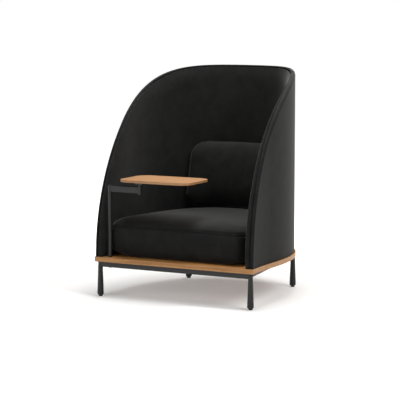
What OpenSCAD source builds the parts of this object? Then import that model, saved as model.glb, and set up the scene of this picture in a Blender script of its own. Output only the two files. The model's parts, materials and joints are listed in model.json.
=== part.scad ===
// Acoustic high back lounge chair on an oak platform with a swivelling writing tablet.
// Millimetres. The chair faces -Y, +Z is up, and the origin is on the floor under
// the middle of the platform.

/* [Platform] */
// Width of the oak platform along its front edge
platform_w = 1012; // [940:1:1120]
// Depth of the platform from its front edge to the back
platform_d = 1004; // [900:1:1100]
// Thickness of the oak platform
platform_t = 27; // [20:1:40]
// Height of the platform's underside above the floor
platform_h = 202; // [150:1:280]
// How far each side draws in before it bends round to the back
side_draw = 11; // [0:1:30]
// Distance behind the front edge at which the sides start to bend
side_run = 245; // [180:1:320]
// Squareness of the bend: 2 is an ellipse, higher is boxier
bend_power = 2.42; // [2:0.02:3]
// Radius of the platform's two front corners
front_corner_r = 7; // [2:1:20]

/* [Shell] */
// Height of the whole chair
chair_h = 1291; // [1150:1:1400]
// How far the shell stands inside the edge of the platform at the sides and back
shell_inset = 8; // [2:0.5:15]
// How far the shell stands inside the side edge of the platform at the front
shell_front_inset = 1.5; // [0.5:0.5:15]
// Distance of the rim behind the platform's front edge
rim_setback = 1.2; // [0.2:0.1:10]
// Thickness of the fabric covers
cover_t = 2; // [1:0.5:3]
// Thickness of the wadding under the outer cover
wadding_t = 4; // [2:0.5:8]
// Thickness of the moulded plywood core
core_t = 12; // [9:1:18]
// Thickness of the acoustic foam inside the core
acoustic_pad_t = 23; // [12:1:30]
// Height of the rounded band that caps the rim
band_h = 7; // [5:0.5:12]
// Radius of the two piping cords on the rim
piping_r = 2.4; // [1.5:0.1:3.5]
// How far past the back the sweep of the rim would level out
rim_beyond = 22; // [10:1:200]
// Shape of the rim's sweep along the depth
rim_power_y = 2.3; // [2:0.02:3]
// Shape of the rim's sweep in height
rim_power_z = 1.98; // [1.6:0.02:2.4]

/* [Base frame] */
// Distance of each front leg's centre from the platform's front and side edges
front_leg_inset = 25.5; // [20:0.5:40]
// Distance of each rear leg's centre inside the platform's half width
rear_leg_inset = 157; // [130:1:250]
// Distance of the rear legs' centres in front of the platform's back
rear_leg_setback = 168; // [150:1:300]
// Radius at the top of a leg
leg_top_r = 12.5; // [9:0.5:16]
// Radius near the foot of a leg
leg_foot_r = 18.7; // [14:0.1:24]
// Height of the front rail
front_rail_h = 30; // [22:1:40]
// Depth of the front rail from front to back
front_rail_w = 30; // [24:1:40]
// Height and width of the other rails
rail_w = 20; // [16:1:25]
// Wall of the rails
rail_wall = 2; // [1.5:0.5:3]
// Distance of the cross rail behind the front edge
cross_rail_y = 430; // [300:5:600]
// Radius of the plastic glide under a leg
glide_r = 11; // [8:0.5:13]
// Height of the plastic glide
glide_h = 6; // [4:0.5:10]

/* [Cushions] */
// Distance of the seat cushion behind the front edge
seat_setback = 51; // [49:1:90]
// Space between the seat cushion and the inside of the shell
seat_clear = 8; // [5:1:30]
// Height of the seat cushion at its seam
seat_side_h = 174; // [140:1:200]
// How much the top of the seat cushion crowns above its seam
seat_crown = 58; // [30:1:70]
// How much less the crown rises at the back of the seat
seat_fall = 15; // [0:1:20]
// Radius of the seat cushion's front corners, seen from above
seat_corner_r = 42; // [25:1:80]
// Width of the lumbar cushion
lumbar_w = 630; // [520:1:660]
// Height of the lumbar cushion
lumbar_h = 394; // [300:1:430]
// Thickness of the lumbar cushion in the middle
lumbar_t = 138; // [90:1:155]
// Radius of the lumbar cushion's corners
lumbar_corner_r = 84; // [50:1:110]
// Space behind the middle of the lumbar cushion
lumbar_back_clear = 22; // [18:1:60]
// Space behind the two ends of the lumbar cushion
lumbar_end_clear = 33; // [30:1:60]
// Angle by which the lumbar cushion leans back
lumbar_lean = 7.5; // [2:0.5:9]

/* [Tablet] */
// Distance of the tablet post inside the platform's left edge
post_inset = 85; // [72:1:105]
// Distance of the tablet post and pivot behind the front edge
post_y = 35; // [33:0.5:40]
// Radius of the tablet post
post_r = 11; // [9:0.5:12]
// Height of the post above the platform
post_h = 411; // [380:1:470]
// Distance from the post to the pivot, centre to centre
arm_reach = 197; // [150:1:260]
// Height of the flat arm
arm_h = 33; // [24:1:45]
// Thickness of the flat arm
arm_t = 12; // [8:1:18]
// Radius of the pivot tube
pivot_r = 10; // [8.5:0.5:12]
// Width of the oak tablet
tablet_w = 454; // [340:1:480]
// Depth of the oak tablet
tablet_d = 300; // [220:1:320]
// Thickness of the oak tablet
tablet_t = 13; // [12:1:25]
// Radius of the tablet's corners
tablet_corner_r = 70; // [20:1:80]
// Distance of the pivot from the left edge of the tablet
pivot_from_left = 137; // [100:1:160]
// Distance of the pivot from the front edge of the tablet
pivot_from_front = 33; // [31:0.5:60]

/* [Hidden] */
$fn = 64;

// Clearances and overruns
gap = 0.3;
weld_gap = 0.15;
run_gap = 0.05;
over = 1;

// Colours
oak_colour = "#c79a6b";
fabric_colour = "#3a3a3b";
foam_colour = "#d9d2bf";
ply_colour = "#caa877";
steel_colour = "#2c2c2d";
zinc_colour = "#b7babd";
plastic_colour = "#161616";
nylon_colour = "#e8e6de";

// Levels that several pieces share
platform_top = platform_h + platform_t;
wall_t = 2 * cover_t + wadding_t + core_t + acoustic_pad_t + 4 * gap;
bend_half_w = platform_w / 2 - side_draw;
front_leg_x = platform_w / 2 - front_leg_inset;
front_leg_y = front_leg_inset;
rear_leg_x = platform_w / 2 - rear_leg_inset;
rear_leg_y = platform_d - rear_leg_setback;
front_rail_y = post_y - gap - front_rail_w / 6;
rail_top = platform_h;

// Depth of each layer's outer face below the shell's outline
outer_cover_at = 0;
wadding_at = outer_cover_at + cover_t + gap;
core_at = wadding_at + wadding_t + gap;
pad_at = core_at + core_t + gap;
inner_cover_at = pad_at + acoustic_pad_t + gap;

// Plan outline and rim of the shell
side_steps = 12;
bend_steps = 20;
half_steps = side_steps + bend_steps;
rim_start_angle = 5;

// Half width of the platform's outline at depth y, before the bend
function side_half_w(y) = bend_half_w + side_draw * pow(1 - y / side_run, 2);

// Depth that the bend covers
bend_run = platform_d - side_run;

// Point of the bend at angle a, from 0 at the side to 90 at the back
function bend_point(a) = [
  bend_half_w * pow(cos(a), 2 / bend_power),
  side_run + bend_run * pow(sin(a), 2 / bend_power)
];

// Rim height above the platform at depth y, a superellipse quarter
rim_front_y = rim_setback + band_h + gap;
rim_run = platform_d - shell_inset - rim_front_y + rim_beyond;
function rim_y(a) = rim_front_y + rim_run * (1 - pow(cos(a), 2 / rim_power_y));
function rim_angle(y) = acos(pow(1 - (y - rim_front_y) / rim_run, rim_power_y / 2));
function rim_share(y) = pow(sin(rim_angle(y)), 2 / rim_power_z);
rim_rise = (chair_h - platform_top - band_h - gap) / rim_share(platform_d);
function rim_z(y) = platform_top + rim_rise * rim_share(y);

// Stations of the right half: plan point on the platform's outline
side_end_angle = rim_angle(side_run);
function side_angle(i) = rim_start_angle + (side_end_angle - rim_start_angle) * i / side_steps;
function right_station(i) = i < side_steps
  ? [side_half_w(rim_y(side_angle(i))), rim_y(side_angle(i))]
  : bend_point(90 * (i - side_steps) / bend_steps);

// All stations, from the right front round the back to the left front
stations = [
  for (i = [0 : 2 * half_steps])
    i <= half_steps
      ? right_station(i)
      : [-right_station(2 * half_steps - i)[0], right_station(2 * half_steps - i)[1]]
];
last_station = len(stations) - 1;

// Unit vector along a list of points at index i
function along(points, i) =
  let (a = points[max(i - 1, 0)])
  let (b = points[min(i + 1, len(points) - 1)])
  (b - a) / norm(b - a);

// Outward normal of the plan at station i
function outward(i) =
  let (t = along(stations, i))
  [t[1], -t[0]];

// How far the shell stands inside the platform's outline at depth y
function edge_inset(y) = y < side_run
  ? shell_front_inset + (shell_inset - shell_front_inset) * y / side_run
  : shell_inset;

// Plan point at station i, at a depth below the shell's outer face
function wall_at(i, depth) = stations[i] - outward(i) * (edge_inset(stations[i][1]) + depth);

// Two triangles for each cell of a grid of rings
function skin_faces(rings, sides) = [
  for (i = [0 : rings - 2])
    for (j = [0 : sides - 1])
      for (half = [0 : 1])
        half == 0
          ? [i * sides + j, (i + 1) * sides + j, (i + 1) * sides + (j + 1) % sides]
          : [i * sides + j, (i + 1) * sides + (j + 1) % sides, i * sides + (j + 1) % sides]
];

// Solid through a list of equal rings, closed by a flat cap at each end
module lofted(rings) {
  sides = len(rings[0]);
  count = len(rings);
  first_cap = [for (j = [0 : sides - 1]) j];
  last_cap = [for (j = [0 : sides - 1]) (count - 1) * sides + sides - 1 - j];
  polyhedron(
    points = [for (ring = rings) each ring],
    faces = concat(skin_faces(count, sides), [first_cap, last_cap])
  );
}

// Solid through a list of equal rings, closed by a point at each end
module pillow(rings, first_tip, last_tip) {
  sides = len(rings[0]);
  count = len(rings);
  tip_a = count * sides;
  tip_b = tip_a + 1;
  polyhedron(
    points = concat([for (ring = rings) each ring], [first_tip, last_tip]),
    faces = concat(
      skin_faces(count, sides),
      [for (j = [0 : sides - 1]) [tip_a, j, (j + 1) % sides]],
      [for (j = [0 : sides - 1])
        [tip_b, (count - 1) * sides + (j + 1) % sides, (count - 1) * sides + j]]
    )
  );
}

// Moves a piece from front-edge coordinates to the chair's own frame
module in_frame() {
  translate([0, -platform_d / 2, 0]) children();
}

// One layer of the curved wall, from depth at to depth at + thick
module wall_layer(at, thick) {
  lofted([
    for (i = [0 : last_station])
      let (a = wall_at(i, at))
      let (b = wall_at(i, at + thick))
      let (top = rim_z(stations[i][1]))
      [
        [a[0], a[1], platform_top],
        [a[0], a[1], top],
        [b[0], b[1], top],
        [b[0], b[1], platform_top]
      ]
  ]);
}

// Centre line of the rim: two points up the front edge, then every station
rim_start_steps = 2;
function rim_mid(i) = wall_at(i, wall_t / 2);
function rim_point(i) =
  let (k = min(max(i - rim_start_steps, 0), last_station))
  let (m = rim_mid(k))
  let (z = rim_z(stations[k][1]))
  let (foot = i < rim_start_steps ? i : last_station + 2 * rim_start_steps - i)
  [m[0], m[1], foot < rim_start_steps ? platform_top + (z - platform_top) * foot / rim_start_steps : z];
rim_line = [for (i = [0 : last_station + 2 * rim_start_steps]) rim_point(i)];

// Sweep of a section along the rim: across is outwards, up is away from the wall
module along_rim(section) {
  lofted([
    for (i = [0 : len(rim_line) - 1])
      let (k = min(max(i - rim_start_steps, 0), last_station))
      let (n2 = outward(k))
      let (n = [n2[0], n2[1], 0])
      let (on_foot = i < rim_start_steps || i > last_station + rim_start_steps)
      let (t = on_foot ? [0, 0, i < rim_start_steps ? 1 : -1] : along(rim_line, i))
      let (u = cross(n, t) / norm(cross(n, t)))
      [for (p = section) rim_line[i] + n * p[0] + u * p[1]]
  ]);
}

// The rim band has a wide roll inside and a narrow one outside, with a cord in the groove
// between them and a cord along its outer edge
piping_sides = 6;
piping_flat_r = piping_r * cos(180 / piping_sides);
groove_share = 0.27;
groove_at = wall_t / 2 * groove_share;
groove_half_w = piping_r + gap;
groove_web = 0.8;
groove_floor = gap + groove_web;
outer_piping_at = wall_t / 2 - piping_r;
function piping_section(across, up) = [
  for (j = [0 : piping_sides - 1])
    [
      across + piping_r * cos(360 * j / piping_sides),
      up + piping_flat_r - piping_r * sin(360 * j / piping_sides)
    ]
];

// Points over a rounded roll, from its outer edge to its inner edge
roll_power = 0.7;
function roll_points(from, to, low, top, steps) = [
  for (j = [0 : steps])
    [
      (from + to) / 2 + (from - to) / 2 * cos(180 * j / steps),
      low + (top - low) * pow(sin(180 * j / steps), roll_power)
    ]
];
outer_roll_from = outer_piping_at - piping_r - gap;
outer_roll_share = 0.9;
outer_roll_steps = 4;
inner_roll_steps = 6;
band_bottom = 2 * gap;
band_section = concat(
  [[outer_roll_from, band_bottom]],
  roll_points(
    outer_roll_from, groove_at + groove_half_w, groove_floor, gap + band_h * outer_roll_share,
    outer_roll_steps
  ),
  roll_points(groove_at - groove_half_w, -wall_t / 2, groove_floor, gap + band_h, inner_roll_steps),
  [[-wall_t / 2, band_bottom]]
);

// Platform
function front_corner(j, steps) =
  let (a = -90 + 90 * j / steps)
  [
    platform_w / 2 - front_corner_r + front_corner_r * cos(a),
    front_corner_r + front_corner_r * sin(a)
  ];
corner_steps = 4;
platform_side_steps = 5;
platform_half = concat(
  [for (j = [0 : corner_steps]) front_corner(j, corner_steps)],
  [for (j = [1 : platform_side_steps])
    let (y = front_corner_r + (side_run - front_corner_r) * j / (platform_side_steps + 1))
    [side_half_w(y), y]],
  [for (j = [0 : bend_steps]) bend_point(90 * j / bend_steps)]
);
platform_outline = concat(
  platform_half,
  [for (j = [len(platform_half) - 2 : -1 : 0]) [-platform_half[j][0], platform_half[j][1]]]
);

// Screws that hold the shell's core, by station
shell_screw_steps = [9, 14, 19, 24, 29];
shell_screw_r = 3;
shell_screw_head_r = 5.5;
shell_screw_head_h = 4;
shell_screw_in_core = 25;
shell_screw_sink = 8;
function core_middle(i) = wall_at(i, core_at + core_t / 2);
shell_screw_places = [
  for (k = shell_screw_steps)
    for (side = [1, -1])
      let (p = core_middle(k))
      [side * p[0], p[1]]
];

// Frame screws, plates and legs
plate_side = 64;
plate_t = 4;
plate_screw_r = 2.5;
plate_screw_head_r = 5;
plate_screw_head_h = 3;
plate_screw_in_board = 16;
rail_slope = (front_leg_x - rear_leg_x) / (rear_leg_y - front_leg_y);
function side_rail_x(y) = front_leg_x - rail_slope * (y - front_leg_y);
side_rail_half = rail_w / 2 * sqrt(1 + rail_slope * rail_slope);
front_rail_back = front_rail_y + front_rail_w / 2;
rear_rail_front = rear_leg_y - rail_w / 2;
leg_places = [
  [-front_leg_x, front_leg_y],
  [front_leg_x, front_leg_y],
  [-rear_leg_x, rear_leg_y],
  [rear_leg_x, rear_leg_y]
];
leg_neck_h = 8;
leg_neck_ledge = 1.5;
leg_neck_r = glide_r + leg_neck_ledge;
glide_plug_r = 6;
glide_plug_h = 15;

// Corner of plate k, and the middle of its two screws
function plate_corner(k) =
  let (front = k < 2)
  let (side = k % 2 == 0 ? -1 : 1)
  let (y = front ? front_rail_back + weld_gap : rear_rail_front - weld_gap)
  [side, front ? 1 : -1, side_rail_x(y) - side_rail_half - weld_gap, y];
plate_screw_near_share = 0.16;
plate_screw_far_share = 0.52;
plate_screw_places = [
  for (k = [0 : 3])
    let (c = plate_corner(k))
    for (way = [0, 1])
      let (in_x = plate_side * (way == 0 ? plate_screw_near_share : plate_screw_far_share))
      let (in_y = plate_side * (way == 0 ? plate_screw_far_share : plate_screw_near_share))
      let (y = c[3] + c[1] * in_y)
      [c[0] * (side_rail_x(y) - side_rail_half - weld_gap - in_x), y]
];

// Post, pivot and tablet
post_x = platform_w / 2 - post_inset;
post_at = [-post_x, post_y];
pivot_at = [-post_x + arm_reach, post_y];
post_wall = 2;
post_cap_t = 2;
post_cap_plug_h = 10;
post_top = platform_top + post_h;
post_insert_h = 30;
bolt_r = 4;
bolt_hole_clear = 0.4;
bolt_hole_r = bolt_r + bolt_hole_clear;
bolt_head_r = 7;
bolt_head_h = 5.3;
bolt_in_insert = 22;
bolt_washer_t = 1.6;
bolt_washer_r = 8.5;
spacer_r = 7;
arm_top = post_top - post_cap_t - over;
arm_bottom = arm_top - arm_h;
housing_below_arm = 7;
housing_above_arm = 3;
housing_bottom = arm_bottom - housing_below_arm;
housing_top = arm_top + housing_above_arm;
spindle_r = 5;
bush_wall = 1.5;
bush_r = spindle_r + run_gap + bush_wall;
housing_bore_r = bush_r + run_gap;
bush_h = 12;
bush_flange_t = 1.5;
recess_wall = 1.8;
recess_r = pivot_r - recess_wall;
recess_h = 9;
thrust_t = 1;
thrust_at = housing_top + bush_flange_t;
collar_bottom = thrust_at + thrust_t;
collar_h = 18;
plate_r = 29;
tablet_plate_t = 4;
plate_bottom = collar_bottom + collar_h;
tablet_bottom = plate_bottom + tablet_plate_t;
spindle_play = 0.2;
spindle_bottom = housing_bottom + recess_h - bush_flange_t - spindle_play;
retaining_screw_r = 2;
retaining_washer_t = 1.2;
retaining_head_r = 4;
retaining_head_h = 2.6;
retaining_depth = 16;
tablet_screw_r = 2;
tablet_screw_ring_r = 21;
tablet_screw_head_r = 3.8;
tablet_screw_head_h = 2.2;
tablet_screw_in = 10;

module oak() { color(oak_colour) children(); }
module fabric() { color(fabric_colour) children(); }
module steel() { color(steel_colour) children(); }
module zinc() { color(zinc_colour) children(); }

// A round rod standing at a plan point
module rod(at, from_z, h, r) {
  translate([at[0], at[1], from_z]) cylinder(h = h, r = r);
}

// A round tube standing at a plan point
module ring(at, from_z, h, r, bore) {
  translate([at[0], at[1], from_z])
    difference() {
      cylinder(h = h, r = r);
      translate([0, 0, -over]) cylinder(h = h + 2 * over, r = bore);
    }
}

module platform_board() {
  oak() in_frame() difference() {
    translate([0, 0, platform_h])
      linear_extrude(height = platform_t) polygon(platform_outline);
    for (p = shell_screw_places) {
      rod(p, platform_h - over, platform_t + 2 * over, shell_screw_r + run_gap);
      rod(p, platform_h - over, shell_screw_sink + over, shell_screw_head_r + gap);
    }
    for (p = plate_screw_places)
      rod(p, platform_h - over, plate_screw_in_board + over + gap, plate_screw_r + run_gap);
    rod(post_at, platform_h - over, platform_t + 2 * over, bolt_hole_r);
  }
}

// Space that a tapered leg takes out of a rail's end
module leg_envelope(at) {
  translate([at[0], at[1], 0])
    cylinder(h = rail_top + over, r1 = leg_foot_r + weld_gap, r2 = leg_top_r + weld_gap);
}

module front_rail() {
  steel() in_frame() difference() {
    translate([-front_leg_x, front_rail_y - front_rail_w / 2, rail_top - front_rail_h])
      cube([2 * front_leg_x, front_rail_w, front_rail_h]);
    translate([
      -front_leg_x - over,
      front_rail_y - front_rail_w / 2 + rail_wall,
      rail_top - front_rail_h + rail_wall
    ])
      cube([
        2 * (front_leg_x + over),
        front_rail_w - 2 * rail_wall,
        front_rail_h - 2 * rail_wall
      ]);
    leg_envelope(leg_places[0]);
    leg_envelope(leg_places[1]);
    rod(post_at, rail_top - front_rail_h - over, front_rail_h + 2 * over, bolt_hole_r);
  }
}

module rear_rail() {
  steel() in_frame() difference() {
    translate([-rear_leg_x, rear_rail_front, rail_top - rail_w])
      cube([2 * rear_leg_x, rail_w, rail_w]);
    translate([-rear_leg_x - over, rear_rail_front + rail_wall, rail_top - rail_w + rail_wall])
      cube([2 * (rear_leg_x + over), rail_w - 2 * rail_wall, rail_w - 2 * rail_wall]);
    leg_envelope(leg_places[2]);
    leg_envelope(leg_places[3]);
  }
}

// Plan of a side rail between two depths, inset on its long sides
function side_rail_plan(side, y0, y1, inset) = [
  [side * (side_rail_x(y0) - side_rail_half + inset), y0],
  [side * (side_rail_x(y0) + side_rail_half - inset), y0],
  [side * (side_rail_x(y1) + side_rail_half - inset), y1],
  [side * (side_rail_x(y1) - side_rail_half + inset), y1]
];

module side_rail(side) {
  y0 = front_rail_back + weld_gap;
  y1 = rear_rail_front - weld_gap;
  steel() in_frame() difference() {
    translate([0, 0, rail_top - rail_w])
      linear_extrude(height = rail_w) polygon(side_rail_plan(side, y0, y1, 0));
    translate([0, 0, rail_top - rail_w + rail_wall])
      linear_extrude(height = rail_w - 2 * rail_wall)
        polygon(side_rail_plan(side, y0 - over, y1 + over, rail_wall));
    leg_envelope(leg_places[side < 0 ? 2 : 3]);
    leg_envelope(leg_places[side < 0 ? 0 : 1]);
  }
}

module side_rail_left() { side_rail(-1); }
module side_rail_right() { side_rail(1); }

// Plan of the cross rail between the side rails
function cross_rail_plan(inset, grow) =
  let (y0 = cross_rail_y - rail_w / 2 + inset)
  let (y1 = cross_rail_y + rail_w / 2 - inset)
  let (x0 = side_rail_x(y0) - side_rail_half - weld_gap + grow)
  let (x1 = side_rail_x(y1) - side_rail_half - weld_gap + grow)
  [[-x0, y0], [x0, y0], [x1, y1], [-x1, y1]];

module cross_rail() {
  steel() in_frame() difference() {
    translate([0, 0, rail_top - rail_w])
      linear_extrude(height = rail_w) polygon(cross_rail_plan(0, 0));
    translate([0, 0, rail_top - rail_w + rail_wall])
      linear_extrude(height = rail_w - 2 * rail_wall) polygon(cross_rail_plan(rail_wall, over));
  }
}

module leg(k) {
  steel() in_frame() translate([leg_places[k][0], leg_places[k][1], 0])
    rotate_extrude()
      polygon([
        [glide_plug_r + run_gap, glide_h],
        [leg_neck_r, glide_h],
        [leg_foot_r, glide_h + leg_neck_h],
        [leg_top_r, rail_top],
        [0, rail_top],
        [0, glide_h + glide_plug_h + gap],
        [glide_plug_r + run_gap, glide_h + glide_plug_h + gap]
      ]);
}

module leg_front_left() { leg(0); }
module leg_front_right() { leg(1); }
module leg_rear_left() { leg(2); }
module leg_rear_right() { leg(3); }

module corner_plates() {
  steel() in_frame() difference() {
    for (k = [0 : 3]) {
      c = plate_corner(k);
      far_y = c[3] + c[1] * plate_side;
      far_x = side_rail_x(far_y) - side_rail_half - weld_gap;
      translate([0, 0, rail_top - plate_t])
        linear_extrude(height = plate_t)
          polygon([
            [c[0] * c[2], c[3]],
            [c[0] * (c[2] - plate_side), c[3]],
            [c[0] * far_x, far_y]
          ]);
    }
    for (p = plate_screw_places)
      rod(p, rail_top - plate_t - over, plate_t + 2 * over, plate_screw_r + gap);
  }
}

module frame_screws() {
  zinc() in_frame() for (p = plate_screw_places) {
    rod(p, rail_top - plate_t - plate_screw_head_h, plate_screw_head_h, plate_screw_head_r);
    rod(p, rail_top - plate_t - over, plate_t + over + plate_screw_in_board, plate_screw_r);
  }
}

module leg_glides() {
  color(plastic_colour) in_frame() for (p = leg_places) {
    rod(p, 0, glide_h, glide_r);
    rod(p, 0, glide_h + glide_plug_h, glide_plug_r);
  }
}

module shell_core() {
  color(ply_colour) in_frame() difference() {
    wall_layer(core_at, core_t);
    for (p = shell_screw_places)
      rod(p, platform_top - over, shell_screw_in_core + over + gap, shell_screw_r + run_gap);
  }
}

module shell_acoustic_pad() { color(foam_colour) in_frame() wall_layer(pad_at, acoustic_pad_t); }
module shell_wadding() { color(foam_colour) in_frame() wall_layer(wadding_at, wadding_t); }
module shell_inner_cover() { fabric() in_frame() wall_layer(inner_cover_at, cover_t); }
module shell_outer_cover() { fabric() in_frame() wall_layer(outer_cover_at, cover_t); }
module rim_band() { fabric() in_frame() along_rim(band_section); }
module rim_piping_outer() { fabric() in_frame() along_rim(piping_section(outer_piping_at, gap)); }

module rim_piping_inner() {
  fabric() in_frame() along_rim(piping_section(groove_at, groove_floor + gap));
}

module shell_screws() {
  zinc() in_frame() for (p = shell_screw_places) {
    rod(p, platform_h + shell_screw_sink - shell_screw_head_h, shell_screw_head_h, shell_screw_head_r);
    rod(
      p,
      platform_h + shell_screw_sink - over,
      platform_t - shell_screw_sink + over + shell_screw_in_core,
      shell_screw_r
    );
  }
}

// Seat cushion: a plan outline carried up through levels
seat_half_w = bend_half_w - shell_inset - wall_t - seat_clear;
seat_back = platform_d - shell_inset - wall_t - seat_clear;
seat_mid = (seat_setback + seat_back) / 2;
grip_t = 2;
seat_bottom = platform_top + grip_t;
seat_front_steps = 3;
seat_corner_steps = 4;
seat_bend_steps = 10;
seat_half = concat(
  [for (j = [0 : seat_front_steps - 1])
    [(seat_half_w - seat_corner_r) * j / seat_front_steps, seat_setback]],
  [for (j = [0 : seat_corner_steps])
    let (a = -90 + 90 * j / seat_corner_steps)
    [
      seat_half_w - seat_corner_r + seat_corner_r * cos(a),
      seat_setback + seat_corner_r + seat_corner_r * sin(a)
    ]],
  [for (j = [0 : seat_bend_steps])
    wall_at(side_steps + j * bend_steps / seat_bend_steps, wall_t + seat_clear)]
);
seat_outline = concat(
  seat_half,
  [for (j = [len(seat_half) - 2 : -1 : 1]) [-seat_half[j][0], seat_half[j][1]]]
);

// Each level: share of the outline, share of the side height, share of the crown,
// and share of the seam's rise towards the middle of each side
seat_level_shares = [
  [0.868, 0, 0, 0],
  [0.9, 0.035, 0, 0],
  [0.936, 0.12, 0, 0],
  [0.966, 0.23, 0, 0],
  [0.985, 0.42, 0, 0.2],
  [0.996, 0.68, 0, 0.6],
  [1, 0.9, 0, 0.95],
  [0.985, 1, 0, 1],
  [0.975, 1, 0.33, 1],
  [0.953, 1, 0.52, 0.9],
  [0.9, 1, 0.71, 0.6],
  [0.8, 1, 0.87, 0.3],
  [0.6, 1, 0.968, 0.1],
  [0.3, 1, 0.998, 0]
];
seat_seam_rise = 2;
foam_level_shares = [for (k = [0, 2, 4, 7, 9, 11, 13]) seat_level_shares[k]];
function seat_crown_at(y) = seat_crown - seat_fall * (y - seat_setback) / (seat_back - seat_setback);

module seat_form(levels, inset) {
  shrink = 1 - inset / seat_half_w;
  body_h = seat_side_h - inset;
  top_z = seat_bottom + seat_side_h + seat_crown_at(seat_mid) - inset;
  rings = [
    for (level = levels)
      [
        for (p = seat_outline)
          let (lift = seat_seam_rise * (1 - pow(p[0] / seat_half_w, 2)))
          let (y = seat_mid + (p[1] - seat_mid) * level[0] * shrink)
          [
            p[0] * level[0] * shrink,
            y,
            seat_bottom + inset + (body_h - inset) * level[1]
              + seat_crown_at(y) * level[2] + lift * level[3]
          ]
      ]
  ];
  pillow(rings, [0, seat_mid, seat_bottom + inset], [0, seat_mid, top_z]);
}

// Zip along the back of the seat cover, low down
zip_w = 300;
zip_h = 7;
seat_zip_share = 0.45;
seat_zip_z = seat_bottom + seat_side_h * seat_zip_share;
zip_reach = 40;

module seat_cover() {
  fabric() in_frame() difference() {
    seat_form(seat_level_shares, 0);
    seat_form(seat_level_shares, cover_t);
    translate([-zip_w / 2, seat_back - zip_reach, seat_zip_z])
      cube([zip_w, zip_reach + over, zip_h]);
  }
}

module seat_foam() {
  color(foam_colour) in_frame() seat_form(foam_level_shares, cover_t + gap);
}

module seat_zip() {
  color(plastic_colour) in_frame() intersection() {
    difference() {
      seat_form(seat_level_shares, gap);
      seat_form(seat_level_shares, cover_t - gap);
    }
    translate([-zip_w / 2 + gap, seat_back - zip_reach, seat_zip_z + gap])
      cube([zip_w - 2 * gap, zip_reach + over, zip_h - 2 * gap]);
  }
}

// Strips that keep the seat cushion from sliding
grip_w = 40;
grip_l = 420;
grip_x_share = 0.55;

module seat_grip_strips() {
  color(plastic_colour) in_frame()
    for (side = [-1, 1])
      translate([side * seat_half_w * grip_x_share - grip_w / 2, seat_mid - grip_l / 2, platform_top])
        cube([grip_w, grip_l, grip_t]);
}

// Lumbar cushion: an upright outline carried through levels of thickness.
// It bends so that its two ends stay in front of the shell's inner face.
function shell_inner_y(x) =
  let (half_w = bend_half_w - shell_inset - wall_t)
  let (run = bend_run - shell_inset - wall_t)
  side_run + run * pow(1 - pow(abs(x) / half_w, bend_power), 1 / bend_power);
lumbar_mid_y = shell_inner_y(0) - lumbar_back_clear - lumbar_t / 2;
lumbar_bow = lumbar_mid_y - shell_inner_y(lumbar_w / 2) + lumbar_end_clear;
lumbar_pull_share = 0.006;
lumbar_side_steps = 2;
lumbar_top_steps = 3;
lumbar_corner_steps = 4;
lumbar_quarter = concat(
  [for (j = [0 : lumbar_side_steps - 1])
    [lumbar_w / 2, (lumbar_h / 2 - lumbar_corner_r) * j / lumbar_side_steps]],
  [for (j = [0 : lumbar_corner_steps])
    let (a = 90 * j / lumbar_corner_steps)
    [
      lumbar_w / 2 - lumbar_corner_r + lumbar_corner_r * cos(a),
      lumbar_h / 2 - lumbar_corner_r + lumbar_corner_r * sin(a)
    ]],
  [for (j = [1 : lumbar_top_steps])
    [(lumbar_w / 2 - lumbar_corner_r) * (1 - j / lumbar_top_steps), lumbar_h / 2]]
);
function flipped(points, sx, sz) = [for (p = points) [p[0] * sx, p[1] * sz]];
function backwards(points) = [for (j = [len(points) - 1 : -1 : 0]) points[j]];
function middle_of(points) = [for (j = [1 : len(points) - 2]) points[j]];
lumbar_outline = concat(
  lumbar_quarter,
  middle_of(flipped(backwards(lumbar_quarter), -1, 1)),
  flipped(lumbar_quarter, -1, -1),
  middle_of(flipped(backwards(lumbar_quarter), 1, -1))
);

// Each level: share of the outline, share of half the thickness towards the front
lumbar_level_shares = [
  [0.42, -0.97],
  [0.72, -0.83],
  [0.88, -0.62],
  [0.96, -0.38],
  [1, 0],
  [0.96, 0.38],
  [0.88, 0.62],
  [0.72, 0.83],
  [0.42, 0.97]
];
lumbar_foam_shares = [for (k = [0, 2, 4, 6, 8]) lumbar_level_shares[k]];

// Depth of the cushion's middle surface at distance x from the centre line, z above its middle
function lumbar_surface_y(x, z) =
  lumbar_mid_y + z * tan(lumbar_lean) - lumbar_bow * pow(2 * x / lumbar_w, 2);

// Point of the cushion on a level, for outline point p, with z counted from its middle
function lumbar_point(p, level, inset) =
  let (pull_x = 1 - lumbar_pull_share * pow(cos(180 * p[1] / lumbar_h), 2))
  let (pull_z = 1 - lumbar_pull_share * pow(cos(180 * p[0] / lumbar_w), 2))
  let (x = p[0] * level[0] * (1 - 2 * inset / lumbar_w) * pull_x)
  let (z = p[1] * level[0] * (1 - 2 * inset / lumbar_h) * pull_z)
  [x, lumbar_surface_y(x, z) - (lumbar_t / 2 - inset) * level[1], z];

// Share of the seat's outline that passes through plan point p
function seat_share_at(p) =
  let (c = [0, seat_mid])
  let (count = len(seat_outline))
  max([
    for (j = [0 : count - 1])
      let (a = seat_outline[j])
      let (b = seat_outline[(j + 1) % count])
      let (n = [b[1] - a[1], a[0] - b[0]])
      (n * (p - c)) / (n * (a - c))
  ]);

// Height of the seat's top at plan point p
seat_top_levels = [for (k = [len(seat_level_shares) - 1 : -1 : 7]) seat_level_shares[k]];
seat_crown_table = [for (level = seat_top_levels) [level[0], level[2]]];
seat_rise_table = [for (level = seat_top_levels) [level[0], level[3]]];
function seat_top_at(p) =
  let (share = seat_share_at(p))
  seat_bottom + seat_side_h + seat_crown_at(p[1]) * lookup(share, seat_crown_table)
    + seat_seam_rise * (1 - pow(p[0] / share / seat_half_w, 2)) * lookup(share, seat_rise_table);

// The cushion's lower half stands on the seat's top
lumbar_mid_z = gap + max([
  for (level = lumbar_level_shares)
    for (p = lumbar_outline)
      if (p[1] < 0)
        let (q = lumbar_point(p, level, 0))
        seat_top_at([q[0], q[1]]) - q[2]
]);

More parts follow.
